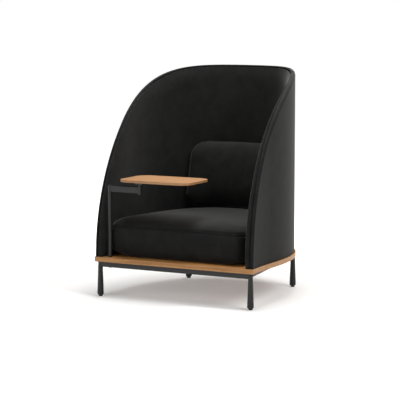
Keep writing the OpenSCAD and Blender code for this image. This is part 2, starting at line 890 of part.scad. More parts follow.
module lumbar_form(levels, inset) {
  rings = [
    for (level = levels)
      [for (p = lumbar_outline) lumbar_point(p, level, inset) + [0, 0, lumbar_mid_z]]
  ];
  half_t = lumbar_t / 2 - inset;
  pillow(
    rings,
    [0, lumbar_mid_y + half_t, lumbar_mid_z],
    [0, lumbar_mid_y - half_t, lumbar_mid_z]
  );
}

// Slot for the zip, low on the back of the lumbar cover
lumbar_zip_w = 260;
lumbar_zip_drop = lumbar_h / 4;

module lumbar_zip_slot(inset) {
  translate([
    -lumbar_zip_w / 2 + inset,
    lumbar_surface_y(0, -lumbar_zip_drop),
    lumbar_mid_z - lumbar_zip_drop + inset
  ])
    cube([lumbar_zip_w - 2 * inset, lumbar_t, zip_h - 2 * inset]);
}

module lumbar_cover() {
  fabric() in_frame() difference() {
    lumbar_form(lumbar_level_shares, 0);
    lumbar_form(lumbar_level_shares, cover_t);
    lumbar_zip_slot(0);
  }
}

module lumbar_foam() {
  color(foam_colour) in_frame() lumbar_form(lumbar_foam_shares, cover_t + gap);
}

module lumbar_zip() {
  color(plastic_colour) in_frame() intersection() {
    difference() {
      lumbar_form(lumbar_level_shares, gap);
      lumbar_form(lumbar_level_shares, cover_t - gap);
    }
    lumbar_zip_slot(gap);
  }
}

module tablet_post() {
  steel() in_frame() ring(post_at, platform_top, post_h - post_cap_t, post_r, post_r - post_wall);
}

module post_insert() {
  zinc() in_frame()
    ring(post_at, platform_top, post_insert_h, post_r - post_wall - run_gap, bolt_r + run_gap);
}

module post_cap() {
  color(plastic_colour) in_frame() {
    rod(post_at, post_top - post_cap_t, post_cap_t, post_r);
    rod(
      post_at,
      post_top - post_cap_t - post_cap_plug_h,
      post_cap_plug_h + post_cap_t,
      post_r - post_wall - run_gap
    );
  }
}

bolt_seat = rail_top - front_rail_h - bolt_washer_t;

module post_bolt() {
  zinc() in_frame() {
    translate([post_at[0], post_at[1], bolt_seat - bolt_head_h])
      cylinder(h = bolt_head_h, r = bolt_head_r, $fn = 6);
    rod(post_at, bolt_seat - over, platform_top + bolt_in_insert - bolt_seat + over, bolt_r);
  }
}

module post_washer() {
  zinc() in_frame() ring(post_at, bolt_seat, bolt_washer_t, bolt_washer_r, bolt_hole_r);
}

module post_spacer() {
  zinc() in_frame()
    ring(
      post_at,
      rail_top - front_rail_h + rail_wall,
      front_rail_h - 2 * rail_wall,
      spacer_r,
      bolt_hole_r
    );
}

module tablet_arm() {
  steel() in_frame() difference() {
    translate([post_at[0], post_y - arm_t / 2, arm_bottom]) cube([arm_reach, arm_t, arm_h]);
    rod(post_at, arm_bottom - over, arm_h + 2 * over, post_r + weld_gap);
    rod(pivot_at, arm_bottom - over, arm_h + 2 * over, pivot_r + weld_gap);
  }
}

module pivot_housing() {
  steel() in_frame() difference() {
    rod(pivot_at, housing_bottom, housing_top - housing_bottom, pivot_r);
    rod(pivot_at, housing_bottom - over, housing_top - housing_bottom + 2 * over, housing_bore_r);
    rod(pivot_at, housing_bottom - over, recess_h + over, recess_r);
  }
}

module pivot_bush_lower() {
  color(nylon_colour) in_frame() difference() {
    union() {
      rod(pivot_at, housing_bottom + recess_h, bush_h, bush_r);
      rod(pivot_at, housing_bottom + recess_h - bush_flange_t, bush_flange_t, recess_r - gap);
    }
    rod(pivot_at, housing_bottom, recess_h + bush_h + over, spindle_r + run_gap);
  }
}

module pivot_bush_upper() {
  color(nylon_colour) in_frame() difference() {
    union() {
      rod(pivot_at, housing_top - bush_h, bush_h, bush_r);
      rod(pivot_at, housing_top, bush_flange_t, pivot_r);
    }
    rod(pivot_at, housing_top - bush_h - over, bush_h + bush_flange_t + 2 * over, spindle_r + run_gap);
  }
}

module thrust_washer() {
  color(plastic_colour) in_frame() ring(pivot_at, thrust_at, thrust_t, pivot_r, spindle_r + run_gap);
}

module tablet_stem() {
  steel() in_frame() difference() {
    union() {
      rod(pivot_at, spindle_bottom, collar_bottom - spindle_bottom + over, spindle_r);
      rod(pivot_at, collar_bottom, collar_h, pivot_r);
    }
    rod(pivot_at, spindle_bottom - over, retaining_depth + over + gap, retaining_screw_r + run_gap);
  }
}

module retaining_washer() {
  zinc() in_frame()
    ring(
      pivot_at,
      spindle_bottom - retaining_washer_t,
      retaining_washer_t,
      recess_r - 2 * gap,
      retaining_screw_r + run_gap
    );
}

module retaining_screw() {
  zinc() in_frame() {
    rod(
      pivot_at,
      spindle_bottom - retaining_washer_t - retaining_head_h,
      retaining_head_h,
      retaining_head_r
    );
    rod(
      pivot_at,
      spindle_bottom - retaining_washer_t - over,
      retaining_washer_t + over + retaining_depth,
      retaining_screw_r
    );
  }
}

// Places of the four tablet screws
tablet_screw_places = [
  for (k = [0 : 3])
    pivot_at + tablet_screw_ring_r * [cos(45 + 90 * k), sin(45 + 90 * k)]
];

module tablet_plate() {
  steel() in_frame() difference() {
    rod(pivot_at, plate_bottom, tablet_plate_t, plate_r);
    for (p = tablet_screw_places)
      rod(p, plate_bottom - over, tablet_plate_t + 2 * over, tablet_screw_r + gap);
  }
}

module tablet_screws() {
  zinc() in_frame() for (p = tablet_screw_places) {
    rod(p, plate_bottom - tablet_screw_head_h, tablet_screw_head_h, tablet_screw_head_r);
    rod(p, plate_bottom - over, tablet_plate_t + over + tablet_screw_in, tablet_screw_r);
  }
}

// Tablet outline: a rectangle with round corners
module tablet_plan() {
  translate([pivot_at[0] - pivot_from_left, pivot_at[1] - pivot_from_front]) {
    translate([tablet_corner_r, 0]) square([tablet_w - 2 * tablet_corner_r, tablet_d]);
    translate([0, tablet_corner_r]) square([tablet_w, tablet_d - 2 * tablet_corner_r]);
    for (x = [tablet_corner_r, tablet_w - tablet_corner_r])
      for (y = [tablet_corner_r, tablet_d - tablet_corner_r])
        translate([x, y]) circle(r = tablet_corner_r);
  }
}

module tablet_top() {
  oak() in_frame() difference() {
    translate([0, 0, tablet_bottom]) linear_extrude(height = tablet_t) tablet_plan();
    for (p = tablet_screw_places)
      rod(p, tablet_bottom - over, tablet_screw_in + over + gap, tablet_screw_r + run_gap);
  }
}

platform_board();
front_rail();
rear_rail();
side_rail_left();
side_rail_right();
cross_rail();
leg_front_left();
leg_front_right();
leg_rear_left();
leg_rear_right();
corner_plates();
frame_screws();
leg_glides();
shell_core();
shell_acoustic_pad();
shell_wadding();
shell_inner_cover();
shell_outer_cover();
rim_band();
rim_piping_outer();
rim_piping_inner();
shell_screws();
seat_cover();
seat_foam();
seat_zip();
seat_grip_strips();
lumbar_cover();
lumbar_foam();
lumbar_zip();
tablet_post();
post_insert();
post_cap();
post_bolt();
post_washer();
post_spacer();
tablet_arm();
pivot_housing();
pivot_bush_lower();
pivot_bush_upper();
thrust_washer();
tablet_stem();
retaining_washer();
retaining_screw();
tablet_plate();
tablet_screws();
tablet_top();
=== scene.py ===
"""Looks of a high back lounge chair: fabric shell, oak platform and oak writing tablet.

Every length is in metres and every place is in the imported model's frame: the origin is on the
floor under the middle of the platform, +Z is up and the chair faces -Y.
"""

import json
import logging
import math
from dataclasses import dataclass
from enum import Enum
from typing import Any, Sequence

import bpy
import numpy as np
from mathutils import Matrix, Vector


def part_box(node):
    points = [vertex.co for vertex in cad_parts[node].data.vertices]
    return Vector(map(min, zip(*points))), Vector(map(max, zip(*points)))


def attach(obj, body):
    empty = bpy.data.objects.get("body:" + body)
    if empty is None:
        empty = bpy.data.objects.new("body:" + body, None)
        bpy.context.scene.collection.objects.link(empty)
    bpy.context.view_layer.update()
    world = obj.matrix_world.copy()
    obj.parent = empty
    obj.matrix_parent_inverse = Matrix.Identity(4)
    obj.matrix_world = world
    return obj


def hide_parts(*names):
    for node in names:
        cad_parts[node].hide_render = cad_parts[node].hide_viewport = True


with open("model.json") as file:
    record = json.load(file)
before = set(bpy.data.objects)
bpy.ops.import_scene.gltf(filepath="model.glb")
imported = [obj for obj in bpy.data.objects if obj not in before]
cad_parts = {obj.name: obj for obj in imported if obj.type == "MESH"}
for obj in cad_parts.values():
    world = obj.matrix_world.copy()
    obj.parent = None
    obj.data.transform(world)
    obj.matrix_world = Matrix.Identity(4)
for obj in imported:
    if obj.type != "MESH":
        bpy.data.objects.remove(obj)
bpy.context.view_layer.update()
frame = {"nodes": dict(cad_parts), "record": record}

log = logging.getLogger("lounge_chair")

MM = 0.001
Array = np.ndarray


class Side(Enum):
    """The two faces of the shell's wall, as the sign of their offset from its middle."""

    OUTER = 1
    INNER = -1


# ---- small helpers ----


def linear(hex_colour: str) -> tuple[float, float, float, float]:
    """Turn an sRGB hex colour into linear values.

    Args:
        hex_colour: six hex digits.

    Returns:
        Linear red, green and blue, and an alpha of 1. Each channel c becomes c / 12.92 below
        0.04045, and ((c + 0.055) / 1.055) to the power 2.4 above.
    """
    channels = [int(hex_colour[i : i + 2], 16) / 255 for i in (0, 2, 4)]
    r, g, b = (c / 12.92 if c <= 0.04045 else ((c + 0.055) / 1.055) ** 2.4 for c in channels)
    return r, g, b, 1.0


def feed(tree: Any, node: Any, values: dict[Any, Any]) -> None:
    """Set a shader node's attributes and inputs, or link an input where it gets a socket.

    Args:
        tree: the node tree.
        node: the node.
        values: attribute names, input names or input numbers with what they get.
    """
    for name, value in values.items():
        if isinstance(value, bpy.types.NodeSocket):
            tree.links.new(value, node.inputs[name])
        elif isinstance(name, str) and hasattr(node, name):
            setattr(node, name, value)
        else:
            node.inputs[name].default_value = value


def add_node(tree: Any, kind: str, values: dict[Any, Any] | None = None) -> Any:
    """Add one shader node and feed it.

    Args:
        tree: the node tree that gets the node.
        kind: the node's type name without ShaderNode in front, such as TexNoise.
        values: what feed gives it.

    Returns:
        The node's output sockets.
    """
    node = tree.nodes.new("ShaderNode" + kind)
    feed(tree, node, values or {})
    return node.outputs


def set_up(thing: Any, **values: Any) -> Any:
    """Set attributes of a modifier, lamp or the like, and give it back."""
    for name, value in values.items():
        setattr(thing, name, value)
    return thing


def placed(name: str, data: Any) -> Any:
    """Put a mesh, lamp or camera in the scene under a name, at the origin."""
    made = bpy.data.objects.new(name, data)
    bpy.context.scene.collection.objects.link(made)
    return made


def coordinates(mesh: Any) -> Array:
    """The corners of a mesh as an array of N by 3."""
    flat = np.empty(len(mesh.vertices) * 3, np.float32)
    mesh.vertices.foreach_get("co", flat)
    return flat.reshape(-1, 3)


def mesh_object(name: str, points: Array, faces: list[list[int]], sharp: float = 60) -> Any:
    """Make a mesh object from points and faces, with its faces turned outwards.

    The signed volume is a sixth of the sum of each fan triangle's a . (b x c); where it comes
    out negative, every face is reversed.

    Args:
        name: the piece's name.
        points: an array of N by 3 coordinates.
        faces: lists of corner numbers, of a closed mesh.
        sharp: the edge angle in degrees above which shading breaks.

    Returns:
        The object, at the origin and linked to the scene.
    """
    volume = 0.0
    by_size: dict[int, list[list[int]]] = {}
    for face in faces:
        by_size.setdefault(len(face), []).append(face)
    for size, group in by_size.items():
        corners = points[np.asarray(group)]
        for k in range(1, size - 1):
            cross = np.cross(corners[:, k], corners[:, k + 1])
            volume += float((corners[:, 0] * cross).sum()) / 6
    ordered = faces if volume > 0 else [face[::-1] for face in faces]
    mesh = bpy.data.meshes.new(name)
    mesh.from_pydata(points.tolist(), [], ordered)
    mesh.shade_smooth()
    mesh.set_sharp_from_angle(angle=math.radians(sharp))
    mesh.update()
    return placed(name, mesh)


def tube_faces(rings: int, sides: int, closed: bool) -> list[list[int]]:
    """Quads between equal rings of points.

    Args:
        rings: how many rings there are.
        sides: how many points each ring has.
        closed: True if the last ring joins the first, else both ends get a cap.

    Returns:
        The faces, with a cap at each end of an open tube.
    """
    i = np.arange(rings if closed else rings - 1)[:, None]
    j = np.arange(sides)[None, :]
    nxt = (i + 1) % rings
    k = (j + 1) % sides
    quads = [i * sides + j, nxt * sides + j, nxt * sides + k, i * sides + k]
    faces = np.stack(quads, axis=-1).reshape(-1, 4).tolist()
    if not closed:
        faces.append(list(range(sides)))
        faces.append(list(range((rings - 1) * sides, rings * sides))[::-1])
    return faces


def swept(
    name: str, path: Array, across: Array, up: Array, section: Array, closed: bool = False
) -> Any:
    """Carry a section along a path.

    Each ring is path + across * section's first column + up * section's second column.

    Args:
        name: the piece's name.
        path: N by 3 points.
        across: N by 3 unit vectors.
        up: N by 3 unit vectors.
        section: M by 2 coordinates, or N by M by 2 where it changes along the path.
        closed: True for a loop.

    Returns:
        The object.
    """
    shape = np.broadcast_to(section, (len(path), *section.shape[-2:]))
    rings = path[:, None] + across[:, None] * shape[..., 0:1] + up[:, None] * shape[..., 1:2]
    faces = tube_faces(len(path), shape.shape[1], closed)
    return mesh_object(name, rings.reshape(-1, 3), faces)


def unit(vectors: Array) -> Array:
    """Scale each row to length one."""
    return vectors / np.maximum(np.linalg.norm(vectors, axis=-1, keepdims=True), 1e-12)


def along(points: Array, closed: bool = False) -> Array:
    """Unit tangent at each point, from its two neighbours.

    Args:
        points: N by 2 or N by 3 points.
        closed: True where the first point follows the last.

    Returns:
        Unit vectors of the same shape.
    """
    if closed:
        return unit(np.roll(points, -1, 0) - np.roll(points, 1, 0))
    step = np.empty_like(points)
    step[1:-1] = points[2:] - points[:-2]
    step[0] = points[1] - points[0]
    step[-1] = points[-1] - points[-2]
    return unit(step)


def dress(piece: Any, material: Any, nodes: Sequence[str] = ()) -> None:
    """Give a new piece of cloth its material, body and slot, and the CAD nodes it stands for.

    Args:
        piece: the object.
        material: its material.
        nodes: CAD nodes that it replaces.
    """
    piece.data.materials.clear()
    piece.data.materials.append(material)
    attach(piece, "chair")
    if nodes:
        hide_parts(*nodes)
    log.info("made %s, %d faces", piece.name, len(piece.data.polygons))


# ---- finishes ----


def begun(name: str) -> tuple[Any, Any, Any, Any]:
    """Start a material.

    Args:
        name: the material's name.

    Returns:
        The material, its node tree, its main shader and the piece's own coordinates.
    """
    mat = bpy.data.materials.new(name)
    mat.use_nodes = True
    tree = mat.node_tree
    place = add_node(tree, "TexCoord")["Object"]
    return mat, tree, tree.nodes["Principled BSDF"], place


def noise(
    tree: Any, place: Any, cell: float, detail: float, roughness: float,
    distortion: float = 0.0, stretch: float = 1.0,
) -> Any:
    """Add a noise of a real size.

    Args:
        tree: the node tree.
        place: the coordinates' socket.
        cell: size of its cells in metres.
        detail: how many finer layers it has.
        roughness: how strong these are.
        distortion: how far they are swirled.
        stretch: how much longer the cells are along X.

    Returns:
        The noise's output socket.
    """
    scale = 1 / cell
    if stretch != 1.0:
        long = {"Scale": (scale / stretch, scale, scale), "Vector": place}
        place, scale = add_node(tree, "Mapping", long)[0], 1.0
    values = {
        "Vector": place, "Scale": scale, "Detail": detail, "Roughness": roughness,
        "Distortion": distortion,
    }
    return add_node(tree, "TexNoise", values)["Fac"]


def ramped(tree: Any, value: Any, **ends: float) -> Any:
    """Map a value from one range to another.

    Args:
        tree: the node tree.
        value: the socket to map.
        ends: from_min, from_max, to_min and to_max, as far as they aren't 0 and 1.

    Returns:
        The mapped socket.
    """
    named = {name.replace("_", " ").title(): end for name, end in ends.items()}
    return add_node(tree, "MapRange", {"Value": value, **named})["Result"]


def two_tones(tree: Any, share: Any, first: Any, second: Any) -> Any:
    """Mix two colours, each a linear colour or a socket, and give the mixed one's socket."""
    values = {"data_type": "RGBA", "Factor": share, 6: first, 7: second}
    return add_node(tree, "Mix", values)[2]


@dataclass(frozen=True)
class Velour:
    """Short-pile polyester velour, woven and shorn.

    It is nearly black where it is seen square on, and its pile catches light at a slant, which
    gives the soft pale edges. Brushing leaves faint clouds of lighter and darker pile.
    """

    name: str
    deep: str = "0a0a0a"
    brushed: str = "181817"
    cloud_mm: float = 80.0
    tuft_mm: float = 2.4
    sheen: float = 0.25
    sheen_roughness: float = 0.38
    sheen_tint: str = "dcdcd8"

    def build(self) -> Any:
        """Make the material."""
        mat, tree, shader, place = begun(self.name)
        clouds = noise(tree, place, self.cloud_mm * MM, 3.0, 0.55, 0.4)
        # Real tufts are about 0.4 mm apart, too fine to show, so they are drawn coarser.
        tufts = noise(tree, place, self.tuft_mm * MM, 2.0, 0.6)
        both = add_node(tree, "Math", {"operation": "ADD", 0: clouds, 1: tufts})[0]
        share = ramped(tree, both, from_min=0.8, from_max=1.2)
        bump = {"Strength": 0.22, "Distance": 0.6 * MM, "Height": tufts}
        values = {
            "Base Color": two_tones(tree, share, linear(self.deep), linear(self.brushed)),
            "Normal": add_node(tree, "Bump", bump)[0],
            "Roughness": 0.85,
            "Specular IOR Level": 0.25,
            "Sheen Weight": self.sheen,
            "Sheen Roughness": self.sheen_roughness,
            "Sheen Tint": linear(self.sheen_tint),
        }
        feed(tree, shader, values)
        return mat


@dataclass(frozen=True)
class Oak:
    """Solid oak, planed, sanded and clear lacquered.

    Growth rings run as long bands down the board, and open pores show as short dark flecks.
    """

    name: str
    pale: str = "c48f55"
    dark: str = "a36f39"
    pore: str = "6a4522"
    ring_mm: float = 9.0
    pore_mm: float = 1.1
    ring_stretch: float = 26.0
    pore_stretch: float = 14.0
    eased_mm: float = 1.5

    def build(self) -> Any:
        """Make the material."""
        mat, tree, shader, place = begun(self.name)
        rings = noise(tree, place, self.ring_mm * MM, 4.0, 0.55, 0.6, self.ring_stretch)
        pores = noise(tree, place, self.pore_mm * MM, 1.0, 0.4, stretch=self.pore_stretch)
        band = ramped(tree, rings, from_min=0.35, from_max=0.65)
        fleck = ramped(tree, pores, from_min=0.6, from_max=0.72, to_max=0.55)
        wood = two_tones(tree, band, linear(self.pale), linear(self.dark))
        eased = add_node(tree, "Bevel", {"samples": 4, "Radius": self.eased_mm * MM})[0]
        bump = {
            "Strength": 0.25, "Distance": 0.2 * MM, "invert": True, "Height": fleck,
            "Normal": eased,
        }
        values = {
            "Base Color": two_tones(tree, fleck, wood, linear(self.pore)),
            "Roughness": ramped(tree, rings, to_min=0.36, to_max=0.5),
            "Normal": add_node(tree, "Bump", bump)[0],
            "IOR": 1.5,
        }
        feed(tree, shader, values)
        return mat


@dataclass(frozen=True)
class SmoothFinish:
    """A plain finish with a fine surface texture, such as a coat, a moulding or a plating."""

    name: str
    colour: str
    roughness: float
    grain_mm: float
    bump: float
    metallic: float = 0.0
    eased_mm: float = 0.8

    def build(self) -> Any:
        """Make the material."""
        mat, tree, shader, place = begun(self.name)
        grain = noise(tree, place, self.grain_mm * MM, 2.0, 0.5)
        eased = add_node(tree, "Bevel", {"samples": 4, "Radius": self.eased_mm * MM})[0]
        bump = {
            "Strength": self.bump, "Distance": 0.1 * MM, "Height": grain, "Normal": eased,
        }
        low, high = self.roughness * 0.88, self.roughness * 1.12
        values = {
            "Base Color": linear(self.colour),
            "Metallic": self.metallic,
            "Roughness": ramped(tree, grain, to_min=low, to_max=high),
            "Normal": add_node(tree, "Bump", bump)[0],
        }
        feed(tree, shader, values)
        return mat


def build_finishes() -> dict[str, Any]:
    """Make every finish once, named by the record's slot or by the piece that has its own."""
    makers = {
        "velour": Velour("black_polyester_velour"),
        # The cords get a darker copy of the velour with little sheen: painted shade, so the grooves
        # and seams where they lie read dark.
        "cord": Velour("velour_painted_dark_for_seam_shade", deep="070707", brushed="0c0c0c", sheen=0.06),
        "oak": Oak("lacquered_oak"),
        # The tablet's boards take a paler, less yellow copy of the same oak: painted light, for the
        # highlights its lacquered top catches.
        "tablet_top": Oak("lacquered_oak_paled_for_tablet_highlights", pale="bd9066", dark="9d6f44"),
        # Polyester powder coat on steel: satin black, with a faint orange peel.
        "frame_steel": SmoothFinish("black_powder_coated_steel", "121212", 0.46, 1.6, 0.25),
        # Moulded nylon or polypropylene: spark-eroded, fairly dull.
        "black_plastic": SmoothFinish("black_moulded_plastic", "161616", 0.55, 0.9, 0.3),
        # Bright zinc plating on small fasteners.
        "zinc_steel": SmoothFinish(
            "bright_zinc_plating", "c3c6ca", 0.34, 0.7, 0.2, metallic=1.0, eased_mm=0.3
        ),
        "plywood": Oak("beech_plywood", pale="cdb189", dark="b8986c", ring_mm=14.0),
        "nylon": SmoothFinish("black_nylon", "1a1a1a", 0.45, 0.8, 0.15, eased_mm=0.2),
    }
    made = {key: maker.build() for key, maker in makers.items()}
    # The foams are hidden and take the nylon's finish.
    return {**made, "foam": made["nylon"]}


# ---- shell ----


@dataclass
class Shell:
    """The upholstered wall on the platform: two covers, the rim band and its two pipings."""

    finishes: dict[str, Any]
    # The part's own named sizes.
    platform_w: float = 1.012
    platform_d: float = 1.004
    platform_top: float = 0.229
    side_draw: float = 0.011
    side_run: float = 0.245
    bend_power: float = 2.42
    height: float = 1.291
    inset: float = 0.008
    front_inset: float = 0.0015
    rim_setback: float = 0.0012
    cover: float = 0.002
    wadding: float = 0.004
    core: float = 0.012
    pad: float = 0.023
    gap: float = 0.0003
    band: float = 0.007
    piping: float = 0.0024
    rim_beyond: float = 0.022
    rim_power_y: float = 2.3
    rim_power_z: float = 1.98
    # The padding's soft edge below the rim, and its changes from the front to the back.
    soft_run: float = 0.085
    soft_power: float = 2.6
    ramp_from: float = 0.34
    ramp_run: float = 0.3
    draw_front: float = 0.004
    draw_more: float = 0.006
    end_drop: float = 0.012
    turn_in: float = 0.0034
    turn_run: float = 0.009
    # The swelling of the padding and the rounding at the foot of the front edges.
    swell: float = 0.008
    swell_run: float = 0.14
    swell_rise: float = 0.42
    foot_round: float = 0.028
    foot_run: float = 0.045
    foot_in: float = 0.024
    foot_back: float = 0.026
    foot_slim: float = 0.35
    end_run: float = 0.08
    # The rim's roll, rib, groove and cords.
    crown_h: float = 0.012
    crown_w: float = 0.010
    rib_power: float = 0.7
    groove_share: float = 0.27
    groove_half: float = 0.0027
    groove_from: float = 0.08
    groove_shift: float = 0.0088
    floor_front: float = 0.0011
    floor_fall: float = 1.25
    under_in: float = 0.0004
    under_drop: float = 0.0015
    under_rib: tuple[float, float] = (0.0032, 0.0033)
    under_clear: float = 0.0002
    cord_rise: float = 0.014
    cord_shift: float = 0.12
    cord_level: float = 0.87
    welt_in: float = 0.0042
    welt_low: float = 0.0034
    # Counts of points.
    side_steps: int = 70
    bend_steps: int = 90
    foot_steps: int = 24
    rows: int = 48

    @property
    def wall(self) -> float:
        """Thickness of the whole wall."""
        return 2 * self.cover + self.wadding + self.core + self.pad + 4 * self.gap

    @property
    def rim_front(self) -> float:
        """Depth at which the rim starts."""
        return self.rim_setback + self.band + self.gap

    def rim_angle(self, depth: Array) -> Array:
        """Angle of the rim's superellipse at a depth behind the platform's front edge."""
        run = self.platform_d - self.inset - self.rim_front + self.rim_beyond
        base = np.clip(1 - (depth - self.rim_front) / run, 0, 1)
        return np.arccos(base ** (self.rim_power_y / 2))

    def rim_height(self, depth: Array) -> Array:
        """Height of the wall's top edge: the rise times sin(angle) to the power 2 / rim_power_z."""
        share = np.sin(self.rim_angle(depth)) ** (2 / self.rim_power_z)
        at_back = np.sin(self.rim_angle(np.array(self.platform_d))) ** (2 / self.rim_power_z)
        rise = (self.height - self.platform_top - self.band - self.gap) / at_back
        return self.platform_top + rise * share

    def outline(self) -> tuple[Array, Array]:
        """Plan of the platform's edge from the right front round the back to the left front.

        The side draws in as (1 - y / run) squared, and the bend is a superellipse quarter:
        x = a cos(t) to the power 2 / n, y = b sin(t) to the power 2 / n.

        Returns:
            Points N by 2 with depth counted from the front edge, and outward normals N by 2.
        """
        half = self.platform_w / 2 - self.side_draw
        run = self.platform_d - self.inset - self.rim_front + self.rim_beyond
        end = float(self.rim_angle(np.array(self.side_run)))
        start = math.radians(5)
        angle = start + (end - start) * np.arange(self.side_steps) / self.side_steps
        depth = self.rim_front + run * (1 - np.cos(angle) ** (2 / self.rim_power_y))
        side = np.stack([half + self.side_draw * (1 - depth / self.side_run) ** 2, depth], 1)
        t = np.linspace(0, np.pi / 2, self.bend_steps + 1)
        power = 2 / self.bend_power
        across = half * np.clip(np.cos(t), 0, 1) ** power
        back = self.side_run + (self.platform_d - self.side_run) * np.sin(t) ** power
        right = np.vstack([side, np.stack([across, back], 1)])
        whole = np.vstack([right, (right * [-1, 1])[-2::-1]])
        tangent = along(whole)
        return whole, np.stack([tangent[:, 1], -tangent[:, 0]], 1)

    def face(self, depth: float) -> tuple[Array, Array]:
        """Plan of the wall at a depth below its outer face.

        Args:
            depth: distance inwards from the outer cover's face.

        Returns:
            Points N by 2 in the model's frame, and the height of the wall's top at each.
        """
        plan, normal = self.outline()
        share = np.clip(plan[:, 1] / self.side_run, 0, 1)
        edge = self.front_inset + (self.inset - self.front_inset) * share
        inside = plan - normal * (edge + depth)[:, None]
        return inside - [0, self.platform_d / 2], self.rim_height(plan[:, 1])

    def edge_shape(self, depth: Array) -> dict[str, Array]:
        """How the padding's edge and the rim change from the front to the back.

        Ramp is 3 t squared - 2 t cubed of the depth. With it the inner padding draws in by more
        and ends lower than the outer rib, and the groove's floor sinks while the cord in it
        comes up. The groove moves inwards by a ramp of its own, which starts sooner.

        Args:
            depth: distances behind the platform's front edge.

        Returns:
            Per depth: draw (how far the face draws in), groove (the groove's offset from the
            wall's middle), floor (the groove's level), start (the face's last offset), low (its
            level), turn (the roll's first angle), top (its level) and raised (the cord's rise).
        """
        starts = (self.groove_from, self.ramp_from)
        early, late = (np.clip((depth - at) / self.ramp_run, 0, 1) for at in starts)
        shift, ramp = (3 * t**2 - 2 * t**3 for t in (early, late))
        draw = self.draw_front + self.draw_more * ramp
        drop = self.end_drop * ramp
        steep = draw * self.soft_power / self.soft_run
        turn = np.arctan(self.crown_h / self.crown_w * steep)
        top = self.gap + self.band - drop
        return {
            "draw": draw,
            "groove": self.wall / 2 * self.groove_share - self.groove_shift * shift,
            "floor": self.floor_front - self.floor_fall * drop,
            "start": draw - self.wall / 2,
            "low": top - self.crown_h * (1 - np.sin(turn)),
            "turn": turn,
            "top": top,
            "raised": self.cord_rise * ramp,
        }

    def swelling(self, behind: Array, lift: Array) -> Array:
        """How far the padding swells inwards near the foot of its front edge.

        It is swell times exp(-(behind / run) squared), over 1 + exp(5 (lift / rise - 1)).

        Args:
            behind: distances from the front edge.
            lift: heights above the platform.

        Returns:
            Distances inwards.
        """
        fade = np.exp(-((behind / self.swell_run) ** 2))
        return self.swell * fade / (1 + np.exp(5 * (lift / self.swell_rise - 1)))

    def foot_share(self, lift: Array) -> Array:
        """Share of the full form at a height above the platform: a quarter circle to 1."""
        low = np.clip(1 - lift / self.foot_round, 0, 1)
        return np.sqrt(1 - low**2)

    def skin(self, name: str, side: Side, nodes: Sequence[str]) -> None:
        """One cover of the wall with the padding behind it, as a closed sheet.

        A section runs up the shown face and down the hidden one. The inner face draws in below
        the rim: by draw times (1 - d / run) to a power, at a distance d below its last edge.

        Args:
            name: the piece's name.
            side: which face of the wall it covers.
            nodes: CAD nodes it stands for.
        """
        shown = 0.0 if side is Side.OUTER else self.wall
        lining = self.wadding if side is Side.OUTER else self.pad
        hidden = shown + side.value * (self.cover + self.gap + lining)
        edge, flat_normal = self.outline()
        normal = np.column_stack([flat_normal, np.zeros(len(edge))])[:, None]
        up = self.rim_frame()[2][self.foot_steps : -self.foot_steps]
        shape = self.edge_shape(edge[:, 1])
        level = shape["low"] if side is Side.INNER else np.zeros(len(up))
        rows = 1 - (1 - np.linspace(0, 1, self.rows)) ** 1.5
        layers = []
        for depth, order in ((shown, rows), (hidden, rows[::-1])):
            plan, top = self.face(depth)
            run = np.concatenate([[0], np.cumsum(np.linalg.norm(np.diff(plan, axis=0), axis=1))])
            behind = np.minimum(run, run[-1] - run)[:, None]
            head = np.column_stack([plan, top]) + up * level[:, None]
            foot = np.column_stack([plan, np.full(len(plan), self.platform_top)])
            foot[:, :2] += (up * level[:, None])[:, :2] * np.exp(-behind / self.end_run)
            grid = foot[:, None] + (head - foot)[:, None] * order[None, :, None]
            below = ((head[:, None] - grid) * up[:, None]).sum(-1)
            if depth == shown and side is Side.INNER:
                soft = np.clip(1 - below / self.soft_run, 0, 1) ** self.soft_power
                grid = grid + normal * (shape["draw"][:, None] * soft)[..., None]
                swell = self.swelling(behind, grid[..., 2] - self.platform_top)
                grid = grid - normal * swell[..., None]
                # The front edge's foot is rounded off.
                near = np.exp(-((behind / self.foot_run) ** 2))
                tuck = (1 - self.foot_share(grid[..., 2] - self.platform_top)) * near
                grid = grid + normal * (self.foot_in * tuck)[..., None]
                grid[..., 1] += self.foot_back * tuck
            elif depth == shown:
                tuck = self.turn_in * np.clip(1 - below / self.turn_run, 0, 1) ** 2
                grid = grid - normal * tuck[..., None]
            layers.append(grid)
        rings = np.concatenate(layers, 1)
        faces = tube_faces(*rings.shape[:2], False)
        piece = mesh_object(name, rings.reshape(-1, 3), faces, 40)
        if side is Side.OUTER:
            soften = piece.modifiers.new("turned_edge", "BEVEL")
            set_up(soften, width=0.8 * MM, segments=2, angle_limit=math.radians(50))
        dress(piece, self.finishes["velour"], nodes)

    def rim_frame(self) -> tuple[Array, Array, Array]:
        """Middle line of the wall's top edge with its frame.

        Returns:
            Points, outward vectors and vectors away from the wall, all N by 3. The line starts
            with a short upright stretch on the platform and ends with its mirror image.
        """
        plan, top = self.face(self.wall / 2)
        line = np.column_stack([plan, top])
        count = self.foot_steps
        lift = np.linspace(0, 1, count, endpoint=False)[:, None]
        ground = np.array([0, 0, self.platform_top])
        first, last = (
            end * [1, 1, 0] + (ground + lift * [0, 0, end[2] - ground[2]])
            for end in line[[0, -1]]
        )
        points = np.vstack([first, line, last[::-1]])
        normal = np.column_stack([self.outline()[1], np.zeros(len(plan))])
        across = np.pad(normal, ((count, count), (0, 0)), "edge")
        rise = np.repeat([[0.0, 0.0, 1.0]], count, 0)
        heading = np.vstack([rise, along(line), -rise])
        return points, across, unit(np.cross(across, heading))

